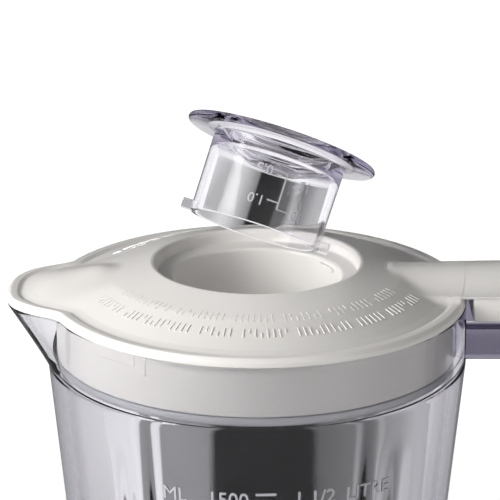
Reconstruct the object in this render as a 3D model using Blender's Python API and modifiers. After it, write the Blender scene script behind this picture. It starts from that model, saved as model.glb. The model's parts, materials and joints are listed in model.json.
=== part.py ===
"""Countertop blender: motor base, lift-off jug with a blade unit, turn-lock lid and a filler cap
that doubles as a measuring cup. Lengths below are millimetres; the scene is in metres, +Z up.
The drive axis is the Z axis, and z = 0 is the flat underside of the bottom plate. The spout points
to -X, the handle to +X and the control knob to -Y. The filler cap is raised and tilted, as lifted."""

import math

import bmesh
import bpy
from mathutils import Matrix, Vector

MM = 0.001
GAP = 0.3                       # clearance between neighbouring pieces

# Driving dimensions
RIM_R = 69.0                    # jug and lid radius at the rim
RIM_Z = 338.0                   # underside of the lid's edge
TAPER = 0.095                   # fall of the jug's radius per millimetre of height
WALL = 3.0                      # jug wall
LEDGE_DROP = 20.0               # rim down to the ledge that stops the lid
SPOUT_REACH = 13.5              # how far the beak stands out of the rim
SPOUT_HALF_ANGLE = math.radians(24)
SPOUT_POWER = 1.7               # above 1 the beak's nose is blunter
SPOUT_DROP = 21.0               # rim down to the foot of the beak
NECK_R, NECK_FOOT_Z, NECK_TOP_Z = 50.0, 139.4, 150.6
SHOULDER_Z = 165.0              # where the jug's taper ends

HOLE_R = 34.0                   # mouth of the filler hole
HOLE_RISE = 11.9                # its height over the rim
TUBE_R, TUBE_DROP = 27.5, 25.0  # the sleeve under the mouth
SKIRT_R = 65.0                  # ring of the lid inside the jug
TAB_REACH, TAB_HALF_WIDTH = 121.0, 16.5
TONGUE_REACH, TONGUE_DROP = 108.0, 4.2

FLANGE_R, FLANGE_THICK = 32.2, 3.2
FLANGE_SEAT = 9.7               # flange mid-plane over the rim when the cap is shut
CUP_R, CUP_WALL, CUP_DEPTH = 22.2, 1.8, 29.5
CAP_PIVOT = 26.0                # tilt axis below the flange
CAP_LIFT, CAP_TILT = 41.8, math.radians(29.8)
CAP_LEAN = math.radians(52.0)   # heading the cap's top leans to, from +X

GRIP_X, GRIP_FOOT_Z = 112.0, 214.0
HANDLE_HALF_WIDTH, HANDLE_WALL = 16.0, 3.0

BASE_R, BASE_TOP_Z = 87.0, 128.0
SEAT_Z, SOCKET_R = 118.0, 58.0
COLLAR_R = 57.0
SHAFT_R = 4.0
KNOB_Z, KNOB_R, PANEL_FACE = 52.0, 21.0, 88.0
CORD_Z, GLAND_R, CORD_R = 22.0, 6.7, 3.7
FOOT_PLACE_R, SCREW_PLACE_R = 70.0, 60.0
SPLINE_R, SPLINE_TOOTH = 9.0, 3.0   # motor coupling: root radius and tooth height
BLADE_THICK, BLADE_HALF, BLADE_TIP_HALF, BLADE_BEND = 1.6, 7.0, 1.6, 12.0
LEDGE_Z = RIM_Z - LEDGE_DROP
RIM_INNER_R = RIM_R - WALL - 0.4    # bore of the rim, where the lid's skirt goes in
RIB_HEADINGS = (-48.5, -131.5, 48.5, 131.5)
RIB_FOOT_Z, RIB_TOP_Z = 172.0, 292.0


def start():
    """Empties the scene and makes the collections."""
    for old in list(bpy.data.objects):
        bpy.data.objects.remove(old)
    for name in ("countertop_blender", "cutters"):
        made = bpy.data.collections.new(name)
        bpy.context.scene.collection.children.link(made)


def material(name, color, roughness, metallic=0.0, alpha=1.0):
    found = bpy.data.materials.get(name)
    if found:
        return found
    made = bpy.data.materials.new(name)
    made.use_nodes = True
    shader = made.node_tree.nodes["Principled BSDF"]
    shader.inputs["Base Color"].default_value = (*color, 1.0)
    shader.inputs["Roughness"].default_value = roughness
    shader.inputs["Metallic"].default_value = metallic
    shader.inputs["Alpha"].default_value = alpha
    return made


MATERIALS = {
    "white_plastic": ((0.72, 0.70, 0.68), 0.35, 0.0, 1.0),
    "clear_plastic": ((0.80, 0.78, 0.86), 0.05, 0.0, 0.35),
    "dark_plastic": ((0.05, 0.05, 0.06), 0.45, 0.0, 1.0),
    "silicone": ((0.78, 0.78, 0.80), 0.6, 0.0, 1.0),
    "rubber": ((0.03, 0.03, 0.03), 0.8, 0.0, 1.0),
    "steel": ((0.62, 0.62, 0.63), 0.25, 1.0, 1.0),
    "copper": ((0.70, 0.33, 0.18), 0.35, 1.0, 1.0),
    "brass": ((0.75, 0.58, 0.28), 0.3, 1.0, 1.0),
    "carbon": ((0.04, 0.04, 0.04), 0.7, 0.0, 1.0),
    "board": ((0.05, 0.22, 0.09), 0.5, 0.0, 1.0),
}


def finish(obj, slot, group="countertop_blender"):
    """Links an object to its collection and gives it its material."""
    bpy.data.collections[group].objects.link(obj)
    if group == "cutters":
        obj.hide_render = True
        obj.display_type = "WIRE"
    else:
        obj.data.materials.clear()
        obj.data.materials.append(material(slot, *MATERIALS[slot]))
    return obj


def close(mesh):
    """Merges doubled points and turns every face outwards."""
    bm = bmesh.new()
    bm.from_mesh(mesh)
    bmesh.ops.remove_doubles(bm, verts=bm.verts, dist=1e-6)
    bmesh.ops.dissolve_degenerate(bm, edges=bm.edges, dist=1e-7)
    bmesh.ops.recalc_face_normals(bm, faces=bm.faces)
    bm.to_mesh(mesh)
    bm.free()
    mesh.shade_smooth()
    mesh.set_sharp_from_angle(angle=math.radians(30))
    return mesh


def bake(obj):
    """Replaces an object's mesh by its evaluated one, with the modifiers used up."""
    bpy.context.view_layer.update()
    seen = obj.evaluated_get(bpy.context.evaluated_depsgraph_get())
    mesh = bpy.data.meshes.new_from_object(seen)
    obj.modifiers.clear()
    obj.data = close(mesh)
    return obj


def turned(name, slot, profile, steps=32, loop=True, group="countertop_blender"):
    """A profile of (radius, height) points, down its outer side, turned about Z.
    A loop is a ring; otherwise the profile starts and ends on the axis."""
    mesh = bpy.data.meshes.new(name)
    points = [(r * MM, 0, z * MM) for r, z in profile]
    count = len(points)
    edges = [(i, (i + 1) % count) for i in range(count if loop else count - 1)]
    mesh.from_pydata(points, edges, [])
    obj = finish(bpy.data.objects.new(name, mesh), slot, group)
    screw = obj.modifiers.new("turn", "SCREW")
    screw.axis = "Z"
    screw.steps = steps
    screw.render_steps = steps
    screw.use_merge_vertices = True
    screw.merge_threshold = 0.00001
    return bake(obj)


def disc(name, slot, radius, low, high, steps=24, x=0.0, y=0.0, group="countertop_blender"):
    """An upright cylinder at x, y."""
    return rod(name, slot, radius, (x, y, low), (x, y, high), steps, group)


def rod(name, slot, radius, start_at, end_at, steps=16, group="countertop_blender"):
    """A cylinder between two points."""
    first, last = Vector(start_at) * MM, Vector(end_at) * MM
    along = last - first
    bm = bmesh.new()
    bmesh.ops.create_cone(bm, cap_ends=True, segments=steps, radius1=radius * MM,
                          radius2=radius * MM, depth=along.length)
    turn = Vector((0, 0, 1)).rotation_difference(along.normalized()).to_matrix().to_4x4()
    bm.transform(Matrix.Translation((first + last) / 2) @ turn)
    mesh = bpy.data.meshes.new(name)
    bm.to_mesh(mesh)
    bm.free()
    return finish(bpy.data.objects.new(name, close(mesh)), slot, group)


def block(name, slot, low, high, bevel=0.0, turn=0.0, group="countertop_blender"):
    """A box between two corners, turned about the Z axis, with an optional rounded edge."""
    bm = bmesh.new()
    bmesh.ops.create_cube(bm, size=1.0)
    size = Vector(high) - Vector(low)
    middle = (Vector(high) + Vector(low)) / 2
    bm.transform(Matrix.Rotation(turn, 4, "Z") @ Matrix.Translation(middle * MM)
                 @ Matrix.Diagonal((*(size * MM), 1)))
    if bevel:
        bmesh.ops.bevel(bm, geom=bm.edges, offset=bevel * MM, segments=2, affect="EDGES",
                        profile=0.5)
    mesh = bpy.data.meshes.new(name)
    bm.to_mesh(mesh)
    bm.free()
    return finish(bpy.data.objects.new(name, close(mesh)), slot, group)


def combine(obj, other, how):
    """Cuts other from obj, or joins it to obj, and removes other."""
    step = obj.modifiers.new(how.lower(), "BOOLEAN")
    step.operation = how
    step.solver = "EXACT"
    step.object = other
    bake(obj)
    bpy.data.objects.remove(other)
    return obj


def cut(obj, other):
    return combine(obj, other, "DIFFERENCE")


def join(obj, other):
    return combine(obj, other, "UNION")


def set_origin(obj, place):
    """Moves an object's origin without moving its shape."""
    obj.data.transform(Matrix.Translation(-Vector(place) * MM))
    obj.location = Vector(place) * MM


def spin_copies(count):
    return [2 * math.pi * i / count for i in range(count)]


def spout_bulge(angle):
    """How far the rim stands out at a heading, in millimetres: a round-nosed beak about -X."""
    off = abs(angle % (2 * math.pi) - math.pi)
    if off >= SPOUT_HALF_ANGLE:
        return 0.0
    return SPOUT_REACH * 0.5 * (1 + math.cos(math.pi * (off / SPOUT_HALF_ANGLE) ** SPOUT_POWER))


def pull_spout(obj, inner_r, foot_z):
    """Draws the beak out of a turned shape: points beyond inner_r move outwards, more so the higher
    they lie over foot_z."""
    for v in obj.data.vertices:
        r, z = math.hypot(v.co.x, v.co.y) / MM, v.co.z / MM
        if r < inner_r or z < foot_z:
            continue
        rise = min(1.0, (z - foot_z) / (RIM_Z - 2 * GAP - foot_z))  # whole just below the rim
        share = min(1.0, (r - inner_r) / 2.0)                      # whole 2 mm outside inner_r
        grow = 1 + spout_bulge(math.atan2(v.co.y, v.co.x)) * rise * share / r
        v.co.x *= grow
        v.co.y *= grow
    return obj


# ---------------------------------------------------------------- base

def build_housing():
    shell = turned("base_housing", "white_plastic", [
        (61.5, BASE_TOP_Z), (66, 126), (73, 117), (78, 100), (81, 84), (BASE_R, 8), (BASE_R, 1),
        (84, 1), (84, 8), (78, 83), (75, 98), (70, 113), (60.5, 114.5), (12, 114.5),
        (12, SEAT_Z), (SOCKET_R, SEAT_Z), (SOCKET_R, BASE_TOP_Z - 1), (59, BASE_TOP_Z)], 48)
    join(shell, rod("knob_panel", "", KNOB_R + 7, (0, -79.2, KNOB_Z), (0, -PANEL_FACE, KNOB_Z), 32,
                    "cutters"))
    cut(shell, rod("knob_hole", "", 5.0, (0, -60, KNOB_Z), (0, -100, KNOB_Z), 16, "cutters"))
    cut(shell, rod("gland_hole", "", GLAND_R + GAP, (0, 70, CORD_Z), (0, 100, CORD_Z), 16, "cutters"))


def build_bottom():
    plate = turned("bottom_plate", "white_plastic",
                   [(0, 3), (83.6, 3), (83.6, 0), (0, 0)], 48, loop=False)
    for angle in spin_copies(12):
        if abs(math.sin(2 * angle)) < 0.9:
            cut(plate, block("vent", "", (24, -1.6, -1), (50, 1.6, 4), turn=angle, group="cutters"))
    for i, angle in enumerate(spin_copies(4)):
        heading = angle + math.pi / 4
        x, y = FOOT_PLACE_R * math.cos(heading), FOOT_PLACE_R * math.sin(heading)
        disc(f"foot_{i + 1}", "rubber", 8.0, -2.0, -GAP, 20, x=x, y=y)


def build_screws():
    """Four self-tapping screws, each in its own hollow post."""
    for i, angle in enumerate(spin_copies(4)):
        x, y = SCREW_PLACE_R * math.cos(angle), SCREW_PLACE_R * math.sin(angle)
        post = disc(f"screw_post_{i + 1}", "white_plastic", 4.5, 3.3, 20, 12, x=x, y=y)
        cut(post, disc("bore", "", 1.9, 2, 18, 12, x=x, y=y, group="cutters"))
        disc(f"base_screw_{i + 1}", "steel", 1.6, 3.3, 14, 12, x=x, y=y)


def build_motor():
    turned("stator_core", "steel", [(42, 75), (42, 45), (24, 45), (24, 75)], 32)
    for side in (-1, 1):
        label = "left" if side < 0 else "right"
        block(f"field_coil_{label}", "copper", (min(side * 26, side * 39), -17, 75.3),
              (max(side * 26, side * 39), 17, 82), 1.5)
        holder = block(f"brush_holder_{label}", "brass", (min(side * 17, side * 35), -5, 86),
                       (max(side * 17, side * 35), 5, 96))
        cut(holder, block("brush_way", "", (min(side * 16, side * 32), -3.3, 87.7),
                          (max(side * 16, side * 32), 3.3, 94.3), group="cutters"))
        block(f"carbon_brush_{label}", "carbon", (min(side * 11.3, side * 27), -3, 88),
              (max(side * 11.3, side * 27), 3, 94))
    turned("armature", "steel", [(22.5, 76), (22.5, 44), (SHAFT_R + GAP, 44), (SHAFT_R + GAP, 76)], 32)
    turned("commutator", "copper", [(11, 98), (11, 84), (SHAFT_R + GAP, 84), (SHAFT_R + GAP, 98)], 24)
    disc("motor_shaft", "steel", SHAFT_R, 17, 130, 16)
    for label, low in (("lower", 20), ("upper", 101)):
        turned(f"{label}_bearing", "steel", [(11, low + 7), (11, low), (SHAFT_R + GAP, low),
                                             (SHAFT_R + GAP, low + 7)], 24)
        bracket = turned(f"{label}_bracket", "steel", [
            (14, low + 7), (14, low), (11 + GAP, low), (11 + GAP, low + 7)], 24)
        join(bracket, cut(block("bar", "", (-7, -50, low + 1), (7, 50, low + 4), group="cutters"),
                          disc("bar_hole", "", 12.5, low - 1, low + 8, 24, group="cutters")))
    fan = turned("cooling_fan", "dark_plastic", [(9, 40), (9, 31.3), (SHAFT_R + GAP, 31.3),
                                                 (SHAFT_R + GAP, 40)], 24)
    for angle in spin_copies(8):
        join(fan, block("vane", "", (8, -0.8, 32), (36, 0.8, 39), turn=angle, group="cutters"))


def spline(name, slot, radius, low, high, depth, group="countertop_blender"):
    """A plug or cutter with six teeth: a cylinder with three bars through it."""
    plug = disc(name, slot, radius, low, high, 24, group=group)
    for i in range(3):
        join(plug, block("tooth", "", (-radius - depth, -1.8, low), (radius + depth, 1.8, high),
                         turn=math.pi * i / 3, group="cutters"))
    return plug


def build_couplings():
    driver = spline("drive_coupling", "dark_plastic", SPLINE_R, 121, 129.7, SPLINE_TOOTH)
    cut(driver, disc("shaft_bore", "", SHAFT_R + GAP, 120, 131, 16, group="cutters"))
    cup = turned("blade_coupling", "dark_plastic", [(0, 138), (18, 138), (18, 121), (0, 121)], 24,
                 loop=False)
    cut(cup, spline("socket", "", SPLINE_R + GAP * 1.5, 120, 130.3, SPLINE_TOOTH + GAP, "cutters"))
    cut(cup, disc("shaft_seat", "", SHAFT_R + GAP, 130, 140, 16, group="cutters"))
    turned("shaft_seal", "silicone", [(11.5, 117.5), (11.5, 115), (SHAFT_R + GAP, 115),
                                      (SHAFT_R + GAP, 117.5)], 24)


def build_controls():
    back = -PANEL_FACE - 0.4
    knob = rod("speed_knob", "dark_plastic", KNOB_R, (0, back, KNOB_Z), (0, -102, KNOB_Z), 32)
    join(knob, block("knob_grip", "", (-3.2, -107, KNOB_Z - KNOB_R + 2),
                     (3.2, -100, KNOB_Z + KNOB_R - 2), 1.2, group="cutters"))
    join(knob, rod("knob_stem", "", 4.5, (0, -90, KNOB_Z), (0, -74, KNOB_Z), 16, "cutters"))
    set_origin(knob, (0, back, KNOB_Z))
    block("speed_switch", "dark_plastic", (-14, -73.5, KNOB_Z - 14), (14, -56, KNOB_Z + 14), 1.0)
    block("control_board", "board", (-26, -55.5, 30), (26, -53.9, 78))
    gland = rod("cord_gland", "rubber", GLAND_R, (0, 70, CORD_Z), (0, 92, CORD_Z), 20)
    join(gland, rod("gland_flange", "", 9.0, (0, 87.4, CORD_Z), (0, 90, CORD_Z), 20, "cutters"))
    cut(gland, rod("gland_bore", "", CORD_R, (0, 60, CORD_Z), (0, 100, CORD_Z), 16, "cutters"))


# ---------------------------------------------------------------- jug

def build_jug():
    low_r = RIM_R - TAPER * (LEDGE_Z - SHOULDER_Z)
    jug = turned("jug", "clear_plastic", [
        (RIM_R, RIM_Z - GAP), (RIM_R, RIM_Z - 10), (RIM_R, LEDGE_Z), (low_r, SHOULDER_Z),
        (52.5, 151), (NECK_R, NECK_TOP_Z), (NECK_R, NECK_FOOT_Z), (46.5, NECK_FOOT_Z), (46.5, 155),
        (low_r - WALL, SHOULDER_Z), (RIM_INNER_R - 1.4, LEDGE_Z - 1), (RIM_INNER_R, LEDGE_Z),
        (RIM_INNER_R, RIM_Z - 10), (RIM_INNER_R, RIM_Z - GAP)], 64)
    pull_spout(jug, SKIRT_R - 1, RIM_Z - SPOUT_DROP)
    for heading in RIB_HEADINGS:
        rib = block("rib", "", (47.5, -1.2, RIB_FOOT_Z), (55.8, 1.2, RIB_TOP_Z), turn=math.radians(heading),
                    group="cutters")
        for v in rib.data.vertices:  # leans out with the wall
            lean = 1 + TAPER * (v.co.z / MM - RIB_FOOT_Z) / (math.hypot(v.co.x, v.co.y) / MM)
            v.co.x *= lean
            v.co.y *= lean
        join(jug, rib)


def handle_path():
    """Centre line of the handle in the XZ plane: out of the rim, down the grip and back."""
    top = RIM_Z - 6.8
    return [(66.5, top), (84, top), (101, top - 1), (GRIP_X, top - 13), (GRIP_X, 292),
            (GRIP_X - 1, 262), (GRIP_X - 4, 236), (GRIP_X - 13, 219), (82, GRIP_FOOT_Z),
            (60.5, GRIP_FOOT_Z - 2)]


def build_handle():
    """A channel, open on the side that faces the jug, swept along the handle's centre line."""
    path = [Vector(p) for p in handle_path()]
    w, t = HANDLE_HALF_WIDTH, HANDLE_WALL
    bm = bmesh.new()
    rings = []
    for i, p in enumerate(path):
        along = (path[min(i + 1, len(path) - 1)] - path[max(i - 1, 0)]).normalized()
        outward = Vector((-along.y, along.x))
        d = 10.2 if i < 3 else 8.5  # half depth: the arm at the rim is deeper than the grip
        section = [(-w, d), (w, d), (w, -d), (w - t, -d), (w - t, d - t), (-w + t, d - t),
                   (-w + t, -d), (-w, -d)]
        rings.append([bm.verts.new(((p.x + outward.x * o) * MM, y * MM, (p.y + outward.y * o) * MM))
                      for y, o in section])
    for a, b in zip(rings, rings[1:]):
        for j in range(len(a)):
            k = (j + 1) % len(a)
            bm.faces.new((a[j], a[k], b[k], b[j]))
    bm.faces.new(rings[0])
    bm.faces.new(rings[-1])
    mesh = bpy.data.meshes.new("jug_handle")
    bm.to_mesh(mesh)
    bm.free()
    handle = finish(bpy.data.objects.new("jug_handle", close(mesh)), "clear_plastic")
    # the jug's own space, and the doorway on the near side that the lid's tongue turns through
    cut(handle, turned("jug_space", "", [
        (0, 360), (RIM_R + GAP, 360), (RIM_R + GAP, LEDGE_Z),
        (RIM_R + GAP - TAPER * (LEDGE_Z - SHOULDER_Z), SHOULDER_Z), (0, SHOULDER_Z)], 64, loop=False,
        group="cutters"))
    cut(handle, block("doorway", "", (60, -30, RIM_Z - TONGUE_DROP - GAP), (TONGUE_REACH + 1.7, 13, 360),
                      group="cutters"))


def build_blade_unit():
    turned("jug_collar", "white_plastic", [
        (55.5, 150), (COLLAR_R, 147), (COLLAR_R, SEAT_Z + GAP), (53, SEAT_Z + GAP), (53, 128),
        (44, 128), (44, 132), (NECK_R + GAP, 132), (NECK_R + GAP, 150)], 48)
    turned("blade_holder", "white_plastic", [
        (10, 160), (13, 143), (30, 136.3), (49.6, 136.3), (49.6, 132.3), (28, 132.3), (20.5, 139),
        (7.2, 139), (7.2, 160)], 32)
    turned("jug_seal_ring", "silicone", [(49.4, 139.1), (49.4, 136.6), (42, 136.6), (42, 139.1)], 32)
    turned("blade_bush", "brass", [(6.9, 159), (6.9, 139.5), (SHAFT_R + 0.05, 139.5),
                                   (SHAFT_R + 0.05, 159)], 24)
    disc("blade_shaft", "steel", SHAFT_R, 131, 176, 16)
    turned("thrust_washer", "steel", [(9, 162.5), (9, 160.4), (SHAFT_R + GAP, 160.4),
                                      (SHAFT_R + GAP, 162.5)], 24)
    build_blade("lower_blade", 163, 27, math.radians(20), math.radians(-14))
    build_blade("upper_blade", 166, 24, math.radians(110), math.radians(30))
    nut = rod("blade_nut", "steel", 7.0, (0, 0, 168.4), (0, 0, 173.5), 6)
    cut(nut, disc("nut_bore", "", SHAFT_R + GAP, 167, 175, 16, group="cutters"))


def build_blade(name, low, reach, heading, bend):
    """A two-armed steel blade: a flat middle with narrowing tips bent up or down."""
    tip_z = low + math.tan(bend) * (reach - BLADE_BEND)
    bm = bmesh.new()
    rings = []
    for x, wide, z in ((-reach, BLADE_TIP_HALF, tip_z), (-BLADE_BEND, BLADE_HALF, low),
                       (BLADE_BEND, BLADE_HALF, low), (reach, BLADE_TIP_HALF, tip_z)):
        rings.append([bm.verts.new((x * MM, y * MM, (z + h) * MM)) for y, h in (
            (-wide, 0), (wide, 0), (wide, BLADE_THICK), (-wide, BLADE_THICK))])
    for a, b in zip(rings, rings[1:]):
        for j in range(4):
            k = (j + 1) % 4
            bm.faces.new((a[j], a[k], b[k], b[j]))
    bm.faces.new(rings[0])
    bm.faces.new(rings[-1])
    bm.transform(Matrix.Rotation(heading, 4, "Z"))
    mesh = bpy.data.meshes.new(name)
    bm.to_mesh(mesh)
    bm.free()
    made = finish(bpy.data.objects.new(name, close(mesh)), "steel")
    cut(made, disc("blade_bore", "", SHAFT_R + GAP, low - 2, low + 4, 16, group="cutters"))


# ---------------------------------------------------------------- lid and cap

def build_lid():
    z = RIM_Z
    lid = turned("lid", "white_plastic", [
        (HOLE_R + 2, z + HOLE_RISE), (50, z + 7.4), (62.5, z + 2.6), (66, z + 2.8), (RIM_R - 0.6, z + 1.8),
        (RIM_R, z), (SKIRT_R, z - 0.02), (SKIRT_R, z - 17.6), (SKIRT_R - 2, z - 17.6),
        (SKIRT_R - 2, z - 0.6), (48, z + 5.2), (30.5, z + 4), (29.5, z - TUBE_DROP),
        (TUBE_R, z - TUBE_DROP), (TUBE_R, z + 6.4), (32.8, z + 7.7), (HOLE_R - 0.8, z + 8.6),
        (HOLE_R, z + HOLE_RISE - 0.4)], 64)
    pull_spout(lid, SKIRT_R + 0.3, RIM_Z - 1)
    side = [(44, 0), (60, -12), (66, -19), (72, -20), (78, -13), (80.5, 0)]
    outline = side + [(x, -y) for x, y in side[-2:0:-1]]
    count = len(outline)
    low = [(-x * MM, y * MM, (z + 1.4) * MM) for x, y in outline]
    high = [((-x * 0.955 - 1.5) * MM, y * 0.8 * MM, (z + (8.2 if x < 50 else 5.0)) * MM)
            for x, y in outline]
    walls = [(i, (i + 1) % count, count + (i + 1) % count, count + i) for i in range(count)]
    hood = bpy.data.meshes.new("spout_hood")
    hood.from_pydata(low + high, [], [tuple(range(count)), tuple(range(count, 2 * count)), *walls])
    join(lid, finish(bpy.data.objects.new("spout_hood", close(hood)), "", "cutters"))
    join(lid, block("tab", "", (50, -TAB_HALF_WIDTH, z + 3.9), (TAB_REACH, TAB_HALF_WIDTH, z + 9.4), 2.0,
                    group="cutters"))
    join(lid, block("tongue", "", (RIM_R + 1.2, -HANDLE_HALF_WIDTH + 0.2, z - TONGUE_DROP),
                    (TONGUE_REACH, 12.4, z + 5), 0.8, group="cutters"))
    join(lid, block("tongue_root", "", (60, -11, z + 1.5), (TONGUE_REACH - 20, 11, z + 5),
                    group="cutters"))


def build_gasket():
    turned("lid_gasket", "silicone", [
        (SKIRT_R + 0.2, LEDGE_Z + 2.1), (SKIRT_R + 0.2, LEDGE_Z + GAP), (SKIRT_R - 2.2, LEDGE_Z + GAP),
        (SKIRT_R - 2.2, LEDGE_Z + 2.1)], 48)


def cap_placement():
    """The raised cap's place: tilted about a level axis that crosses the drive axis. The cap and its
    seal are modelled about that axis, so it passes through their origins."""
    pivot = Matrix.Translation((0, 0, (RIM_Z + FLANGE_SEAT - CAP_PIVOT + CAP_LIFT) * MM))
    lean_axis = Vector((-math.sin(CAP_LEAN), math.cos(CAP_LEAN), 0))
    return pivot @ Matrix.Rotation(CAP_TILT, 4, lean_axis)


def build_cap():
    """A cup that hangs from a wide flange, with a finger dish closing its top and two lugs."""
    mid, half, inner = CAP_PIVOT, FLANGE_THICK / 2, CUP_R - CUP_WALL
    foot = mid - CUP_DEPTH
    cap = turned("filler_cap", "clear_plastic", [
        (0, mid - 7.2), (8, mid - 6.6), (15, mid - 3.6), (20.5, mid + half - 0.4), (24, mid + half),
        (FLANGE_R - 1.2, mid + half - 0.2), (FLANGE_R, mid + 0.4), (FLANGE_R, mid - 0.4),
        (FLANGE_R - 1.2, mid - half + 0.2), (CUP_R + 0.4, mid - half), (CUP_R, mid - half - 0.6),
        (CUP_R - 0.2, foot), (inner - 0.2, foot), (inner, mid - 5.4), (15.6, mid - 5.8),
        (8.4, mid - 8.8), (0, mid - 9.4)], 40, loop=False)
    for side in (-1, 1):
        ends = sorted((side * (CUP_R - 1.2), side * (CUP_R + 3.1)))
        join(cap, block("lug", "", (ends[0], -3, foot + 0.2), (ends[1], 3, foot + 3.4),
                        group="cutters"))
    top = mid - half - GAP
    seal = turned("cap_seal", "silicone", [
        (CUP_R + 1.5, top), (CUP_R + 1.5, top - 2.8), (CUP_R + GAP, top - 2.8), (CUP_R + GAP, top)], 40)
    for piece in (cap, seal):
        piece.matrix_world = cap_placement()


def main():
    start()
    build_housing()
    build_bottom()
    build_screws()
    build_motor()
    build_couplings()
    build_controls()
    build_jug()
    build_handle()
    build_blade_unit()
    build_lid()
    build_gasket()
    build_cap()


main()
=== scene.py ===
import json
import math
import bmesh
import bpy
import numpy as np
from mathutils import Matrix, Vector


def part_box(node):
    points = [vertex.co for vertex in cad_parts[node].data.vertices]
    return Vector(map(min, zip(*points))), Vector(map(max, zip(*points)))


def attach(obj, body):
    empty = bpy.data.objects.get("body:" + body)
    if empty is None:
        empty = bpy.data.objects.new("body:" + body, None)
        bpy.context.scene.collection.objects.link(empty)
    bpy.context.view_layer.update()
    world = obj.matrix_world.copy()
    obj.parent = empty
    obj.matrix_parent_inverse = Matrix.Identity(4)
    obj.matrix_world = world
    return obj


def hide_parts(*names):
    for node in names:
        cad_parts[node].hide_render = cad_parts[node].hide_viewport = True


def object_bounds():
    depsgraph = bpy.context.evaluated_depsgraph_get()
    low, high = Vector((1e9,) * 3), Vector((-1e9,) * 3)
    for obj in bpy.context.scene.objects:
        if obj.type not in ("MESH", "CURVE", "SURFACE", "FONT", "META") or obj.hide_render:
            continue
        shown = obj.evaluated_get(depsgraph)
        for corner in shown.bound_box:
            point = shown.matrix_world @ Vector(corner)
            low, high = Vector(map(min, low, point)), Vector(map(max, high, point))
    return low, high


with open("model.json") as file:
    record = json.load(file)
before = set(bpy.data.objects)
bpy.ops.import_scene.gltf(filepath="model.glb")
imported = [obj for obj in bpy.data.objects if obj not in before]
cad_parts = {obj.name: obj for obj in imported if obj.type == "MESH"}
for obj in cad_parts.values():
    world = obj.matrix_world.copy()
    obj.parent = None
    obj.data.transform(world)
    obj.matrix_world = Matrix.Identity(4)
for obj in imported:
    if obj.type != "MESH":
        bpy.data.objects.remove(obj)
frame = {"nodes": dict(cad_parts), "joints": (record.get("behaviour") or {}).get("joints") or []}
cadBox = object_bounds()
mm = 0.001

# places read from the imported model
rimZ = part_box("jug")[1][2] / mm + 0.3  # underside of the lid's edge, millimetres
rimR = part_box("lid")[1][1] / mm  # radius of the lid and of the jug's rim
jointNamed = {j["name"]: j for j in frame["joints"]}
capPivot = Vector(jointNamed["cap_tilt"]["pos_m"])
capAxis = Vector(jointNamed["cap_tilt"]["axis"])
capTilt = -math.radians(jointNamed["cap_tilt"]["range_deg"][0])
capPlace = Matrix.Translation(capPivot) @ Matrix.Rotation(capTilt, 4, capAxis)
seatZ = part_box("jug_collar")[0][2] / mm  # foot of the jug's collar
baseR = -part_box("bottom_plate")[0][0] / mm + 3.4
print("frame read: rim at", round(rimZ, 1), "mm")


def hexColor(code):
    # sRGB hex to linear: the display curve undone channel by channel
    out = []
    for i in (0, 2, 4):
        c = int(code[i:i + 2], 16) / 255
        out.append(c / 12.92 if c <= 0.04045 else ((c + 0.055) / 1.055) ** 2.4)
    return (*out, 1.0)


def addNode(tree, kind, settings=None, links=None):
    # one node with its settings and what feeds it; settings name an input or an attribute
    node = tree.nodes.new("ShaderNode" + kind)
    for key, value in (settings or {}).items():
        if key in node.inputs:
            node.inputs[key].default_value = value
        else:
            setattr(node, key, value)
    for key, source in (links or {}).items():
        tree.links.new(source, node.inputs[key])
    return node


def newMaterial(name, color, roughness, **more):
    made = bpy.data.materials.new(name)
    made.use_nodes = True
    tree = made.node_tree
    shader = tree.nodes["Principled BSDF"]
    shader.inputs["Base Color"].default_value = hexColor(color)
    shader.inputs["Roughness"].default_value = roughness
    for key, value in more.items():
        shader.inputs[key.replace("_", " ")].default_value = value
    return made, tree, shader


def grain(tree, shader, size, depth, detail=2.0):
    # fine unevenness of a moulded or machined face: noise of the given size in mm, raised by depth in mm
    place = addNode(tree, "TexCoord")
    noise = addNode(tree, "TexNoise", {"Scale": 1 / (size * mm), "Detail": detail},
                    {"Vector": place.outputs["Object"]})
    bump = addNode(tree, "Bump", {"Strength": 1.0, "Distance": depth * mm}, {"Height": noise.outputs["Fac"]})
    tree.links.new(bump.outputs["Normal"], shader.inputs["Normal"])
    return place, noise


def roughPatches(tree, shader, place, size, low, high):
    # handling marks: a slow noise that moves the roughness between low and high
    noise = addNode(tree, "TexNoise", {"Scale": 1 / (size * mm), "Detail": 4.0},
                    {"Vector": place.outputs["Object"]})
    span = addNode(tree, "MapRange", {"From Min": 0.35, "From Max": 0.65, "To Min": low, "To Max": high},
                   {"Value": noise.outputs["Fac"]})
    tree.links.new(span.outputs["Result"], shader.inputs["Roughness"])


def twoTone(tree, shader, place, size, first, second):
    # a slow drift between two near colours, as in a moulding's flow
    noise = addNode(tree, "TexNoise", {"Scale": 1 / (size * mm), "Detail": 3.0},
                    {"Vector": place.outputs["Object"]})
    ramp = addNode(tree, "ValToRGB", {}, {"Fac": noise.outputs["Fac"]})
    ramp.color_ramp.elements[0].position, ramp.color_ramp.elements[1].position = 0.3, 0.7
    ramp.color_ramp.elements[0].color, ramp.color_ramp.elements[1].color = hexColor(first), hexColor(second)
    tree.links.new(ramp.outputs["Color"], shader.inputs["Base Color"])


def moldedAbs(name, first, second, low, high):
    # ABS from a polished mould: soft gloss, a faint orange peel 1.5 mm across and slow colour drift
    made, tree, shader = newMaterial(name, first, low, IOR=1.54)
    place, _ = grain(tree, shader, 1.5, 0.004)
    roughPatches(tree, shader, place, 14, low, high)
    twoTone(tree, shader, place, 30, first, second)
    return made


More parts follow.
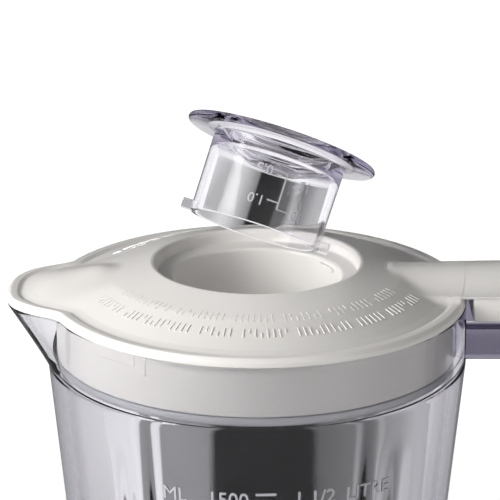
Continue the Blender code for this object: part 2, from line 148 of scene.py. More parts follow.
def clearSan(name, depthColor, density, roughness=0.03):
    # SAN, a clear styrene plastic, as a thin shell: little bending, a glossy skin, and a colour that
    # gathers along the light's path, so that edges and the flange look violet
    made, tree, shader = newMaterial(name, "ffffff", roughness, IOR=1.12, Transmission_Weight=1.0,
                                     Coat_Weight=0.15, Coat_Roughness=0.03)
    grain(tree, shader, 11.0, 0.010, 1.0)
    body = addNode(tree, "VolumeAbsorption", {"Color": hexColor(depthColor), "Density": density})
    tree.links.new(body.outputs["Volume"], tree.nodes["Material Output"].inputs["Volume"])
    return made


def softRubber(name, color, roughness, **more):
    # moulded elastomer: matt, with a fine spark-eroded grain 0.8 mm across
    made, tree, shader = newMaterial(name, color, roughness, IOR=1.5, **more)
    grain(tree, shader, 0.8, 0.02)
    return made


def brushedMetal(name, color, low, high):
    # metal turned or brushed one way: noise stretched along the strokes moves roughness and height
    made, tree, shader = newMaterial(name, color, low, Metallic=1.0)
    place = addNode(tree, "TexCoord")
    stretch = addNode(tree, "Mapping", {"Scale": (1, 1, 14)}, {"Vector": place.outputs["Object"]})
    noise = addNode(tree, "TexNoise", {"Scale": 260.0, "Detail": 6.0}, {"Vector": stretch.outputs["Vector"]})
    span = addNode(tree, "MapRange", {"To Min": low, "To Max": high}, {"Value": noise.outputs["Fac"]})
    bump = addNode(tree, "Bump", {"Strength": 0.4, "Distance": 0.02 * mm}, {"Height": noise.outputs["Fac"]})
    tree.links.new(span.outputs["Result"], shader.inputs["Roughness"])
    tree.links.new(bump.outputs["Normal"], shader.inputs["Normal"])
    return made


def bandedMetal(name, first, second, pitch, axis, metallic, roughness):
    # wire or sheet laid side by side: bands of the given pitch in mm, drawn as raised rounds
    made, tree, shader = newMaterial(name, first, roughness, Metallic=metallic)
    place = addNode(tree, "TexCoord")
    wave = addNode(tree, "TexWave", {"Scale": 0.314 / (pitch * mm), "bands_direction": axis},
                   {"Vector": place.outputs["Object"]})
    ramp = addNode(tree, "ValToRGB", {}, {"Fac": wave.outputs["Fac"]})
    ramp.color_ramp.elements[0].color, ramp.color_ramp.elements[1].color = hexColor(second), hexColor(first)
    bump = addNode(tree, "Bump", {"Strength": 0.6, "Distance": 0.15 * mm}, {"Height": wave.outputs["Fac"]})
    tree.links.new(ramp.outputs["Color"], shader.inputs["Base Color"])
    tree.links.new(bump.outputs["Normal"], shader.inputs["Normal"])
    return made


whiteAbs = moldedAbs("moulded_abs_white", "e4e1dd", "e1deda", 0.29, 0.33)
baseAbs = moldedAbs("moulded_abs_base", "dedbd7", "d8d4cf", 0.30, 0.42)
darkAbs = moldedAbs("moulded_abs_charcoal", "2b2b2e", "323236", 0.36, 0.5)
nylon = moldedAbs("glass_filled_nylon", "1c1c1e", "242427", 0.5, 0.62)
clearJug = clearSan("clear_san_jug", "bab8c1", 80.0)
smokyHandle = clearSan("clear_san_handle", "b4b0c0", 1000.0, 0.12)
clearCap = clearSan("clear_san_cap", "b4adc6", 48.0)
clearSilicone = softRubber("translucent_silicone", "dcdce0", 0.45, Transmission_Weight=0.55)
blackRubber = softRubber("black_rubber", "161617", 0.75)
raisedMark = moldedAbs("frosted_raised_mark", "b9b8bd", "b1b0b6", 0.4, 0.5)
printedMark = moldedAbs("printed_mark_grey", "6b6b70", "626268", 0.5, 0.6)
stainless = brushedMetal("brushed_stainless", "c9c9cb", 0.16, 0.34)
zincSteel = brushedMetal("zinc_plated_steel", "b9bbbf", 0.25, 0.4)
bronze = brushedMetal("sintered_bronze", "b58a4c", 0.35, 0.5)
brassSheet = brushedMetal("brass_sheet", "c8a456", 0.22, 0.38)
copperWire = bandedMetal("enamelled_copper_wire", "c0713f", "6e351a", 0.6, "X", 0.8, 0.3)
commutatorCopper = bandedMetal("segmented_copper", "cf8a5a", "3b2418", 1.6, "X", 1.0, 0.28)
coreSteel = bandedMetal("laminated_core_steel", "8d9196", "4c4f54", 0.5, "Z", 0.9, 0.45)
carbonBlock = softRubber("pressed_carbon", "1b1b1c", 0.6)
boardGreen = moldedAbs("solder_masked_board", "1f5a34", "24683c", 0.3, 0.4)
print("materials made:", len(bpy.data.materials))


def meshObject(name, points, faces, material, sharp=34.0):
    # points in millimetres, faces as index rows of three or four
    mesh = bpy.data.meshes.new(name)
    mesh.from_pydata((np.asarray(points) * mm).tolist(), [], [list(map(int, f)) for f in faces])
    mesh.validate()
    mesh.shade_smooth()
    mesh.set_sharp_from_angle(angle=math.radians(sharp))
    made = bpy.data.objects.new(name, mesh)
    bpy.context.scene.collection.objects.link(made)
    made.data.materials.append(material)
    return made


def gridFaces(rows, columns, closeRows, closeColumns):
    # quads between neighbouring rows and columns of a grid, wrapping where it closes
    r = np.arange(rows if closeRows else rows - 1)
    c = np.arange(columns if closeColumns else columns - 1)
    rr, cc = np.meshgrid(r, c, indexing="ij")
    r2, c2 = (rr + 1) % rows, (cc + 1) % columns
    quads = [rr * columns + cc, r2 * columns + cc, r2 * columns + c2, rr * columns + c2]
    return np.stack(quads, -1).reshape(-1, 4)


def rounded(points, loop=True, steps=5, pitch=None):
    # each corner becomes a curve tangent to both its sides; columns are the coordinates, a radius in
    # the third place, then any further values, which are carried along linearly
    p = np.asarray(points, float)
    count, out = len(p), []
    for i in range(count):
        here = p[i]
        radius = here[2]
        if radius <= 0 or (not loop and i in (0, count - 1)):
            out.append(here[None])
            continue
        before, after = p[i - 1] - here, p[(i + 1) % count] - here
        lenA, lenB = np.linalg.norm(before[:2]), np.linalg.norm(after[:2])
        cosine = np.clip(np.dot(before[:2], after[:2]) / (lenA * lenB), -0.9999, 0.9999)
        reach = min(radius / math.tan(math.acos(cosine) / 2), 0.48 * lenA, 0.48 * lenB)
        first, last = here + before * reach / lenA, here + after * reach / lenB
        s = np.linspace(0, 1, steps + 1)[:, None]
        out.append((1 - s) ** 2 * first + 2 * s * (1 - s) * here + s ** 2 * last)
    line = np.concatenate(out)
    if pitch is None:
        return line
    closed = np.vstack([line, line[:1]]) if loop else line
    parts = []
    for a, b in zip(closed, closed[1:]):
        n = max(1, int(np.ceil(np.linalg.norm(b[:2] - a[:2]) / pitch)))
        parts.append(a + (b - a) * (np.arange(n) / n)[:, None])
    return np.concatenate(parts + ([] if loop else [closed[-1:]]))


def turned(name, profile, material, steps=192, shape=None, sharp=34.0, pitch=None, loop=True):
    # a rounded profile of (radius, height) carried round the axis; shape may move the grid of points.
    # A profile that isn't a loop starts and ends on the axis, where its rows close into poles.
    line = rounded(profile, loop=loop, pitch=pitch)
    r, z = line[:, 0], line[:, 1]
    if np.sum(r * np.roll(z, -1) - np.roll(r, -1) * z) < 0:  # run upwards outside, so that faces point out
        line = line[::-1]
    angle = np.linspace(0, 2 * math.pi, steps, endpoint=False)[:, None]
    r, z = np.broadcast_to(line[:, 0], (steps, len(line))), np.broadcast_to(line[:, 1], (steps, len(line)))
    x, y, z = r * np.cos(angle), r * np.sin(angle), z.copy()
    if shape:
        x, y, z = shape(np.broadcast_to(angle, r.shape), r, z, line)
    grid = np.stack([x, y, z], -1)
    if loop:
        return meshObject(name, grid.reshape(-1, 3), gridFaces(steps, len(line), True, True), material, sharp)
    middle = grid[:, 1:-1]
    count = middle.shape[1]
    faces = gridFaces(steps, count, True, False).tolist()
    top, bottom = steps * count, steps * count + 1
    for i in range(steps):
        j = (i + 1) % steps
        faces.append([top, j * count, i * count])
        faces.append([bottom, i * count + count - 1, j * count + count - 1])
    points = np.vstack([middle.reshape(-1, 3), grid[0, 0], grid[0, -1]])
    return meshObject(name, points, faces, material, sharp)


def lofted(name, sections, material, sharp=34.0):
    # closed sections of equal count joined in order, each end closed by a fan about its middle
    grid = np.asarray(sections, float)
    rows, columns = grid.shape[:2]
    faces = gridFaces(rows, columns, False, True).tolist()
    first, last = rows * columns, rows * columns + 1
    for j in range(columns):
        k = (j + 1) % columns
        faces.append([first, k, j])
        faces.append([last, (rows - 1) * columns + j, (rows - 1) * columns + k])
    points = np.vstack([grid.reshape(-1, 3), grid[0].mean(0), grid[-1].mean(0)])
    made = meshObject(name, points, faces, material, sharp)
    outward(made)
    return made


def outward(made):
    # faces turned to point out of the closed shape
    bm = bmesh.new()
    bm.from_mesh(made.data)
    bmesh.ops.recalc_face_normals(bm, faces=bm.faces)
    bm.to_mesh(made.data)
    bm.free()


def softBlock(name, low, high, edge, material, steps=5):
    # a block with rounded edges: rounded rectangles along X, drawn in over quarter rounds at both ends
    low, high = np.array(low, float), np.array(high, float)
    turns = np.linspace(math.pi / 2, 0, steps)
    ends = [(low[0] + edge * (1 - math.sin(t)), edge * (1 - math.cos(t))) for t in turns]
    ends += [(high[0] - edge * (1 - math.sin(t)), edge * (1 - math.cos(t))) for t in turns[::-1]]
    sections = []
    for x, inset in ends:
        a, b = low[1:] + inset, high[1:] - inset
        corner = max(edge - inset, 0.05)
        ring = rounded([(a[0], a[1], corner), (b[0], a[1], corner), (b[0], b[1], corner),
                        (a[0], b[1], corner)], steps=4)
        sections.append(np.column_stack([np.full(len(ring), x), ring[:, 0], ring[:, 1]]))
    return lofted(name, sections, material)


def place(made, matrix):
    # moves the mesh itself, so that the object stays at the origin
    made.data.transform(matrix)
    made.data.update()
    return made


def cutAway(made, cutter):
    # boolean difference used up into the mesh, and the cutter removed
    step = made.modifiers.new("cut", "BOOLEAN")
    step.operation, step.solver, step.object = "DIFFERENCE", "EXACT", cutter
    step.use_self = True
    bpy.context.view_layer.update()
    seen = made.evaluated_get(bpy.context.evaluated_depsgraph_get())
    mesh = bpy.data.meshes.new_from_object(seen)
    made.modifiers.clear()
    made.data = mesh
    bpy.data.objects.remove(cutter)
    mesh.shade_smooth()
    mesh.set_sharp_from_angle(angle=math.radians(34))
    return made


def joined(name, parts):
    # several finished meshes kept as one object
    for part in parts:
        part.select_set(True)
    bpy.context.view_layer.objects.active = parts[0]
    with bpy.context.temp_override(active_object=parts[0], selected_objects=parts,
                                   selected_editable_objects=parts):
        bpy.ops.object.join()
    parts[0].name = name
    parts[0].select_set(False)
    return parts[0]


def fit(piece, body, slotName, *nodes):
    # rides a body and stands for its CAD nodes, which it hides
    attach(piece, body)
    if nodes:
        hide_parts(*nodes)
    return piece


def smoothStep(a, b, x):
    # 0 below a, 1 above b, an S between
    t = np.clip((x - a) / (b - a), 0, 1)
    return t * t * (3 - 2 * t)


# how far rim and lid stand out at a heading: a round-nosed beak about -X
beak = {"reach": 13.4, "halfAngle": math.radians(24), "power": 1.7, "drop": 21.0}


def beakOut(angle):
    # a raised cosine of the heading's distance from -X, flattened at the nose by a power
    off = np.abs(np.mod(angle, 2 * math.pi) - math.pi)
    share = np.clip(off / beak["halfAngle"], 0, 1) ** beak["power"]
    return beak["reach"] * 0.5 * (1 + np.cos(math.pi * share))


lidSizes = {"holeR": 34.0, "holeRise": 11.9, "tubeR": 27.5, "tubeFoot": -25.0, "skirtR": 65.0,
            "skirtFoot": -17.6, "crest": 10.3, "climb": 0.035, "tabHalf": 16.6, "tabFoot": 3.9,
            "tabReach": 120.6, "hump": 1.9}


def tabTop(x, y):
    # the handle cover's top: a crest that climbs slowly outwards, its flanks falling in an S to the edges
    s = lidSizes
    crest = s["crest"] + s["climb"] * np.clip(x - 48, 0, 32)
    return crest - (crest - s["tabFoot"] - 0.9) * smoothStep(1.0, s["tabHalf"] + 1.0, np.abs(y))


def lidShape(angle, r, z, line):
    # columns 3 and 4 of the profile: how much of the beak and of the top's swellings a point takes
    s = lidSizes
    grown = r + beakOut(angle) * line[:, 3]
    x, y = grown * np.cos(angle), grown * np.sin(angle)
    t = -x
    width = np.clip(9 + (t - 49) * 0.62, 7, 30)
    bell = np.cos(np.clip(np.abs(y) / width, 0, 1) * math.pi / 2) ** 2
    lift = s["hump"] * smoothStep(44, 53, t) * (1 - smoothStep(66, 79, t)) * bell
    z = z + lift * line[:, 4]
    # past its edge the cover dives, so that the larger of the two heights hands over without a step
    cover = rimZ + tabTop(x, y) - 1.6 * np.maximum(0, np.abs(y) - s["tabHalf"]) - 3.0 * np.maximum(0, 44 - x)
    blend = 0.5 * (z + cover + np.sqrt((z - cover) ** 2 + 0.9))
    return x, y, np.where((line[:, 4] > 0.5) & (x > 30), blend, z)


def makeLid():
    s, z = lidSizes, rimZ
    profile = [
        (s["holeR"] + 1.0, z + 12.0, 0.9, 0, 1), (48, z + 8.5, 9, 0.08, 1), (61.2, z + 3.0, 3, 0.9, 1),
        (64.2, z + 2.1, 1.2, 1, 1), (65.6, z + 2.8, 0.6, 1, 1), (67.9, z + 2.9, 0.9, 1, 1),
        (rimR, z + 1.6, 1.0, 1, 0), (rimR, z, 0.35, 1, 0), (s["skirtR"] + 0.3, z, 0.2, 0.0, 0),
        (s["skirtR"] - 0.1, z + s["skirtFoot"], 0.5, 0, 0), (s["skirtR"] - 2.1, z + s["skirtFoot"], 0.5, 0, 0),
        (s["skirtR"] - 1.9, z - 0.6, 1.0, 0, 0), (48, z + 5.4, 4, 0, 0), (30.0, z + 4.4, 2, 0, 0),
        (29.5, z + s["tubeFoot"], 0.5, 0, 0), (s["tubeR"], z + s["tubeFoot"], 0.5, 0, 0),
        (s["tubeR"], z + 7.1, 1.4, 0, 0), (32.9, z + 8.0, 0.7, 0, 0), (33.3, z + 10.6, 0.6, 0, 0),
        (s["holeR"], z + 11.9, 0.5, 0, 0)]
    parts = [turned("lid_shell", profile, whiteAbs, 480, lidShape, 40, pitch=1.2)]
    # handle cover beyond the rim: one section drawn along X with a rounded far end
    sections = []
    reach = s["tabReach"]
    for x, shrink in [(62, 0), (70, 0), (90, 0), (112, 0), (reach - 2, 0.2), (reach - 0.6, 0.9), (reach, 2.0)]:
        y = np.linspace(-s["tabHalf"] + shrink, s["tabHalf"] - shrink, 33)
        top = rimZ + tabTop(x, y) - 0.04 - shrink * 0.8
        ring = np.column_stack([np.full(33, x), y, top])
        low = rimZ + s["tabFoot"] + shrink * 0.3
        under = np.array([[x, y[-1], low + 0.6], [x, y[-1] - 0.5, low], [x, y[-1] - 8, low],
                          [x, y[0] + 8, low], [x, y[0] + 0.5, low], [x, y[0], low + 0.6]])
        sections.append(np.vstack([ring, under]))
    parts.append(lofted("lid_cover", sections, whiteAbs, 50))
    parts.append(softBlock("lid_tongue", (rimR + 1.2, -15.8, z - 4.2), (107.6, 12.4, z + 4.6), 0.9, whiteAbs))
    # lugs on the skirt that lock under the jug's rim
    for centre in (-131.5, -41.0, 48.5, 139.0):
        inner, outer = s["skirtR"] - 0.3, s["skirtR"] + 0.45
        parts.append(wallPatch("lid_lug", centre, 12.4, z - 5.3, z - 1.3, inner, outer, whiteAbs))
        parts.append(wallPatch("lid_stop", centre + 9.3, 1.3, z - 7.6, z - 2.0, inner, outer, whiteAbs))
    # two bayonet slots inside the filler tube show as small ramps
    for centre in (-150, 30):
        inner, outer = s["tubeR"] - 0.9, s["tubeR"] + 0.2
        parts.append(wallPatch("hole_ramp", centre, 16, z + 4.2, z + 5.6, inner, outer, whiteAbs))
    return fit(joined("lid_moulding", parts), "lid", "white_plastic", "lid")


def wallPatch(name, centre, span, low, high, inner, outer, material, steps=10):
    # a raised pad on a round wall: a grid over heading and height with slightly drawn-in outer face
    angle = np.radians(np.linspace(centre - span / 2, centre + span / 2, steps))
    ring = []
    for r, inset in ((inner, 0), (outer - 0.15, 0), (outer, 0.3)):
        grow = 1 - 2 * inset / (span * math.pi / 180 * outer)
        a = math.radians(centre) + (angle - math.radians(centre)) * grow
        lowRow = np.column_stack([r * np.cos(a), r * np.sin(a), np.full(steps, low + inset)])
        highRow = np.column_stack([r * np.cos(a), r * np.sin(a), np.full(steps, high - inset)])
        ring.append(np.vstack([lowRow, highRow[::-1]]))
    return lofted(name, ring, material, 40)


makeLid()
print("lid made")


def makeStrokes():
    # raised strokes on the dome, a plain grip pattern:
    # rows of short radial bars in groups; a row is (radius, first heading, last heading)
    sizes = {"rows": ((47.6, 206, 334), (54.2, 200, 340), (47.6, 108, 150), (54.2, 100, 152), (54.2, 34, 64)),
             "long": 3.7, "wide": 0.6, "high": 0.18, "pitch": 1.9}
    rng = np.random.default_rng(4)
    points, faces = [], []
    for radius, start, end in sizes["rows"]:
        heading, left = start, 0
        while heading < end:
            if left == 0:
                left = int(rng.integers(5, 15))
                heading += math.degrees(2.2 / radius)
            share = rng.choice([1.0, 1.0, 0.55])
            middle = radius + sizes["long"] * (1 - share) / 2 * rng.choice([-1, 1])
            base = len(points)
            for lift, inset in ((-0.4, 0.0), (sizes["high"], 0.14)):
                half, wide = sizes["long"] * share / 2 - inset, sizes["wide"] / 2 - inset
                for out, side in ((-half, -wide), (half, -wide), (half, wide), (-half, wide)):
                    r = middle + out
                    angle = math.radians(heading) + side / r
                    z = rimZ + np.interp(r, [35.0, 48.0, 61.2], [12.0, 8.45, 3.2]) + lift
                    points.append([r * math.cos(angle), r * math.sin(angle), z])
            faces += [[base, base + 3, base + 2, base + 1], [base + 4, base + 5, base + 6, base + 7]]
            faces += [[base + i, base + (i + 1) % 4, base + 4 + (i + 1) % 4, base + 4 + i] for i in range(4)]
            heading += math.degrees(sizes["pitch"] / radius)
            left -= 1
    return fit(meshObject("lid_strokes", points, faces, whiteAbs, 30), "lid", "white_plastic")


makeStrokes()


jugSizes = {"ledge": -20.6, "taper": 0.095, "foot": 165.0, "wall": 3.0,
            "ribAngles": (48.5, -48.5, 131.5, -131.5), "ribTop": -31.0,
            "ribFoot": -158.0, "ribHalf": 5.5, "ribDepth": 3.2}


def jugWallR(z):
    # outer radius at a height: straight to the ledge, then a taper
    return rimR + 0.25 - jugSizes["taper"] * np.maximum(0, rimZ + jugSizes["ledge"] - z)


def jugShape(angle, r, z, line):
    s = jugSizes
    rise = np.clip((z - rimZ + beak["drop"]) / (beak["drop"] - 0.5), 0, 1)
    out = r + beakOut(angle) * rise * line[:, 3]
    dent = np.zeros_like(out)
    for heading in s["ribAngles"]:
        off = np.abs(np.mod(angle - math.radians(heading) + math.pi, 2 * math.pi) - math.pi)
        side = off * r / s["ribHalf"]
        over = np.maximum(0, z - (rimZ + s["ribTop"] - 7)) / 7
        under = np.maximum(0, (rimZ + s["ribFoot"] + 7) - z) / 7
        reach = np.clip(np.sqrt(side ** 2 + over ** 2 + under ** 2), 0, 1)
        dent += s["ribDepth"] * np.cos(reach * math.pi / 2) ** 1.4
    out = out - dent * line[:, 4]
    return out * np.cos(angle), out * np.sin(angle), z


def makeJug():
    s = jugSizes
    ledge = rimZ + s["ledge"]
    lowR = rimR + 0.25 - s["taper"] * (ledge - s["foot"])
    inner = rimR - s["wall"] - 0.4
    profile = [
        (rimR - 0.1, rimZ - 0.35, 0.5, 1, 0), (rimR - 0.1, ledge + 0.6, 0.3, 1, 0),
        (rimR + 0.3, ledge + 0.2, 0.5, 0, 0), (rimR + 0.25, ledge - 0.9, 0.5, 0, 0), (lowR, s["foot"], 6, 0, 1),
        (52.5, 151, 2, 0, 0), (50, 150.7, 0.3, 0, 0), (50, 139.5, 0.6, 0, 0), (46.5, 139.5, 0.6, 0, 0),
        (46.5, 155, 5, 0, 0), (lowR - s["wall"], s["foot"] + 2, 6, 0, 1),
        (inner - 1.5, ledge - 1.6, 0.5, 0, 0), (inner, ledge - 0.3, 0.4, 0, 0), (inner, ledge + 1.5, 0.4, 1, 0),
        (inner + 0.1, rimZ - 0.35, 0.5, 1, 0)]
    jug = turned("jug_moulding", profile, clearJug, 480, jugShape, 50, pitch=2.2)
    return fit(jug, "jug", "clear_plastic", "jug")


makeJug()
print("jug made")


def lettering(name, text, size, thick):
    # text as a closed mesh in the XY plane, centred, sizes in millimetres
    curve = bpy.data.curves.new(name, "FONT")
    curve.body, curve.size, curve.extrude = text, size, thick / 2
    curve.align_x, curve.align_y, curve.resolution_u = "CENTER", "CENTER", 3
    source = bpy.data.objects.new(name, curve)
    bpy.context.scene.collection.objects.link(source)
    bpy.context.view_layer.update()
    mesh = bpy.data.meshes.new_from_object(source.evaluated_get(bpy.context.evaluated_depsgraph_get()))
    bpy.data.objects.remove(source)
    points = np.array([v.co[:] for v in mesh.vertices])
    faces = [list(p.vertices) for p in mesh.polygons]
    return points, faces


def wrapped(points, heading, height, radiusAt, flip=1.0):
    # flat points laid on a round wall: x runs round it, y up it, z out of it
    z = height + flip * points[:, 1]
    radius = radiusAt(z) + points[:, 2]
    angle = math.radians(heading) + flip * points[:, 0] / radiusAt(z)
    return np.column_stack([radius * np.cos(angle), radius * np.sin(angle), z])


def flatBar(width, height, thick):
    # a flat bar centred on the origin, for lines and ticks
    x, y, t = width / 2, height / 2, thick / 2
    n = max(2, int(width / 1.5))
    xs = np.linspace(-x, x, n)
    points = np.array([(v, side, out) for v in xs for side, out in ((-y, -t), (y, -t), (y, t), (-y, t))])
    faces = [[i * 4 + j, (i + 1) * 4 + j, (i + 1) * 4 + (j + 1) % 4, i * 4 + (j + 1) % 4]
             for i in range(n - 1) for j in range(4)]
    faces += [[0, 1, 2, 3], [n * 4 - 4, n * 4 - 1, n * 4 - 2, n * 4 - 3]]
    return points, faces


def markSet(name, items, radiusAt, material, matrix=None, flip=1.0):
    # letters and bars gathered on one wall
    points, faces, base = [], [], 0
    for (flat, quads), heading, height in items:
        laid = wrapped(flat, heading, height, radiusAt, flip)
        points.append(laid)
        faces += [[base + i for i in f] for f in quads]
        base += len(laid)
    made = meshObject(name, np.vstack(points), faces, material, 30)
    if matrix:
        place(made, matrix)
    outward(made)
    return made


def makeJugMarks():
    s = {"size": 6.6, "thick": 0.7, "line": -44.6, "step": 27.6}
    items = []
    # the jug narrows towards its foot, so the lines lie further apart there
    scale = [("1500", "1 1/2"), ("1250", "1 1/4"), ("1000", "1"), ("750", "3/4"), ("500", "1/2"),
             ("250", "1/4")]
    for i, (left, right) in enumerate(scale):
        height = rimZ + s["line"] - i * s["step"] * (0.78 + 0.055 * i)
        items.append((lettering("jug_mark", left, s["size"], s["thick"]), -97.7, height))
        items.append((lettering("jug_mark", right, s["size"], s["thick"]), -74.3, height))
        items.append((flatBar(6.4, 0.7, s["thick"]), -87.6, height + 2.2))
        items.append((flatBar(6.4, 0.7, s["thick"]), -87.6, height - 2.2))
    items.append((lettering("jug_mark", "ML", s["size"], s["thick"]), -112.4, rimZ + s["line"] + 0.3))
    items.append((lettering("jug_mark", "LITRE", s["size"], s["thick"]), -58.6, rimZ + s["line"] - 0.4))
    marks = markSet("jug_scale_marks", items, jugWallR, raisedMark)
    return fit(marks, "jug", "clear_plastic")


makeJugMarks()


def sectionAt(half, out, thick):
    # a channel open on its lower side, with rounded corners; columns are side and outward
    w, d, t = half, out, thick
    return rounded([(-w, d, 5.0), (w, d, 5.0), (w, -d, 1.2), (w - t, -d, 1.2), (w - t, d - t, 3.0),
                    (-w + t, d - t, 3.0), (-w + t, -d, 1.2), (-w, -d, 1.2)], steps=5)


def makeHandle():
    s = {"half": 16.0, "thick": 3.0, "grip": 112.0, "foot": 214.0}
    top = rimZ - 6.8
    grip = s["grip"]
    # the middle line in the XZ plane: out over the rim, down the grip and back in; then bend and half depth
    path = rounded([(66.5, top, 0, 10.2), (84, top, 6, 10.2), (101, top - 1, 12, 10.2),
                    (grip, top - 13, 12, 8.5), (grip, 292, 20, 8.5), (grip - 1, 262, 30, 8.5),
                    (grip - 4, 236, 16, 8.5), (grip - 13, 219, 12, 8.5), (82, s["foot"], 12, 8.5),
                    (60.5, s["foot"] - 2, 0, 8.5)],
                   loop=False, steps=8, pitch=4.0)
    along = np.gradient(path[:, :2], axis=0)
    along /= np.linalg.norm(along, axis=1)[:, None]
    outwards = np.column_stack([-along[:, 1], along[:, 0]])
    sections = []
    for (x, z, _, depth), out in zip(path, outwards):
        ring = sectionAt(s["half"], depth, s["thick"])
        sections.append(np.column_stack([x + out[0] * ring[:, 1], ring[:, 0], z + out[1] * ring[:, 1]]))
    sections = np.array(sections)
    # ends follow the jug's wall with a hair of clearance
    wall = jugWallR(sections[..., 2]) + 0.15
    inside = np.hypot(sections[..., 0], sections[..., 1]) < wall
    onWall = np.sqrt(np.maximum(wall ** 2 - sections[..., 1] ** 2, 1))
    sections[..., 0] = np.where(inside, onWall, sections[..., 0])
    handle = lofted("handle_moulding", sections, smokyHandle, 40)
    door = softBlock("door", (58, -32, rimZ - 4.7), (109.4, 12.9, rimZ + 30), 0.6, smokyHandle)
    cutAway(handle, door)
    return fit(handle, "jug", "clear_plastic", "jug_handle")


makeHandle()
print("handle made")


capSizes = {"mid": 26.0, "flangeR": 32.2, "half": 1.7, "cupR": 22.2, "wall": 1.8, "foot": -3.5, "dish": 7.2}


def makeCap():
    s = capSizes
    mid, foot, inner = s["mid"], s["foot"], s["cupR"] - s["wall"]
    profile = [
        (0, mid - s["dish"], 0), (8, mid - 6.6, 8), (15, mid - 3.6, 6), (20.5, mid + s["half"] - 0.6, 3),
        (25, mid + s["half"], 4), (s["flangeR"] - 0.6, mid + 1.2, 1.4), (s["flangeR"], mid, 1.0),
        (s["flangeR"] - 0.8, mid - 1.2, 1.2), (s["cupR"] + 0.1, mid - s["half"], 1.0),
        (s["cupR"] - 0.2, foot, 0.5), (inner - 0.1, foot, 0.5), (inner, mid - 5.4, 2.5), (15.6, mid - 5.8, 3),
        (8.4, mid - 8.8, 6), (0, mid - 9.4, 0)]
    cap = turned("cap_moulding", profile, clearCap, 256, sharp=40, pitch=2.0, loop=False)
    lugs = [wallPatch("cap_lug", heading, 12.0, foot + 0.1, foot + 3.2, s["cupR"] - 0.8, s["cupR"] + 3.1,
                      clearCap) for heading in (0, 180)]
    cap = joined("cap_moulding", [cap] + lugs)
    return fit(place(cap, capPlace), "cap", "clear_plastic", "filler_cap", "cap_seal")


def cupWallR(z):
    # the cup's outer face, which the marks sink into by a hair
    return np.full_like(z, capSizes["cupR"] - 0.05)


def makeCapMarks():
    # ounces on the left and millilitres on the right of a bracket; each is (text, thickness, heading, height)
    numbers = [("0.5", 0.45, -99.0, 14.4), ("1.0", 0.45, -98.5, 4.3), ("15", 0.35, -61.0, 12.8),
               ("30", 0.35, -60.0, 2.8)]
    items = [(lettering("cap_mark", text, 4.6, thick), heading, z) for text, thick, heading, z in numbers]
    # bars are (width, height, heading, height above the pivot)
    bars = [(4.2, 0.45, -85.0, 14.7), (4.2, 0.45, -84.2, 4.9), (3.4, 0.35, -73.2, 12.9),
            (4.4, 0.35, -73.4, 2.8)]
    items += [(flatBar(w, h, 0.4), a, z) for w, h, a, z in bars]
    items.append((flatBar(0.45, 12.0, 0.4), -79.4, 8.8))
    marks = markSet("cap_scale_marks", items, cupWallR, raisedMark, capPlace, -1.0)
    return fit(marks, "cap", "clear_plastic")


makeCap()
makeCapMarks()
print("cap made")


def makeJugFoot():
    collar = turned("collar_moulding", [
        (55.4, 150, 1.2), (57, 147, 1.5), (57, seatZ, 1.0), (53, seatZ, 0.6), (53, 128, 0.6), (44, 128, 0.5),
        (44, 132, 0.5), (50.3, 132, 0.5), (50.3, 150, 0.6)], whiteAbs, 192)
    ribs = [wallPatch("collar_rib", heading, 3.2, seatZ + 4, 144, 56.6, 57.5, whiteAbs, 4)
            for heading in np.arange(0, 360, 9)]
    fit(joined("collar_moulding", [collar] + ribs), "jug", "white_plastic", "jug_collar")
    high, low = rimZ - 17.8, rimZ - 20.5
    gasket = turned("gasket_ring", [(65.1, high, 0.5), (65.3, rimZ - 19.1, 0.5), (65.1, low, 0.5),
                                    (62.8, low, 0.5), (62.8, high, 0.5)], clearSilicone, 192)
    fit(gasket, "lid_ring", "silicone", "lid_gasket")
    holder = turned("blade_holder_moulding", [
        (10, 160, 1.0), (13, 143, 4), (30, 136.3, 6), (49.5, 136.3, 0.8), (49.5, 132.4, 0.8), (28, 132.4, 3),
        (20.5, 139, 3), (7.3, 139, 0.3), (7.3, 160, 0.5)], whiteAbs, 128)
    fit(holder, "jug", "white_plastic", "blade_holder")


def makeBlades():
    # a two-armed blade: width and bend worked out along its length, ground to an edge on one side
    for name, low, reach, heading, tip in (("lower_blade", 163, 26.8, 20, -14),
                                           ("upper_blade", 166, 23.8, 110, 30)):
        rise = math.tan(math.radians(tip))
        sections = []
        for x in np.linspace(-reach, reach, 41):
            far = max(0, abs(x) - 12)
            share = far / (reach - 12)
            half = 6.9 * (1 - share) ** 0.8 + 1.5 * share
            lift = low + rise * (math.sqrt(far * far + 4) - 2 if far else 0)
            edge = half if x > 0 else -half
            ring = [(edge, 0.55), (edge * 0.55, 1.6), (-edge, 1.6), (-edge, 0.0), (edge * 0.7, 0.0),
                    (edge, 0.35)]
            sections.append([(x, y, lift + h) for y, h in ring])
        grid = np.array(sections)
        arms = [lofted("arm", grid[grid[:, 0, 0] * side >= 0], stainless, 20) for side in (-1, 1)]
        blade = place(joined(name + "_ground", arms), Matrix.Rotation(math.radians(heading), 4, "Z"))
        fit(blade, "blades", "steel", name)
    nut = turned("nut_domed", [(4.2, 173.5, 0.2), (6.4, 173.5, 0.8), (7.0, 172.6, 0.4), (7.0, 168.5, 0.3),
                               (4.2, 168.5, 0.2)], stainless, 6)
    fit(nut, "blades", "steel", "blade_nut")


makeJugFoot()
makeBlades()
print("jug foot and blades made")


knobSizes = {"height": 52.0, "marksR": 24.2, "face": 88.0, "radius": 21.0, "flutes": 36, "depth": 0.35,
             "gripHalf": 18.6}
knobTurn = Matrix.Translation((0, 0, knobSizes["height"] * mm)) @ Matrix.Rotation(math.radians(90), 4, "X")


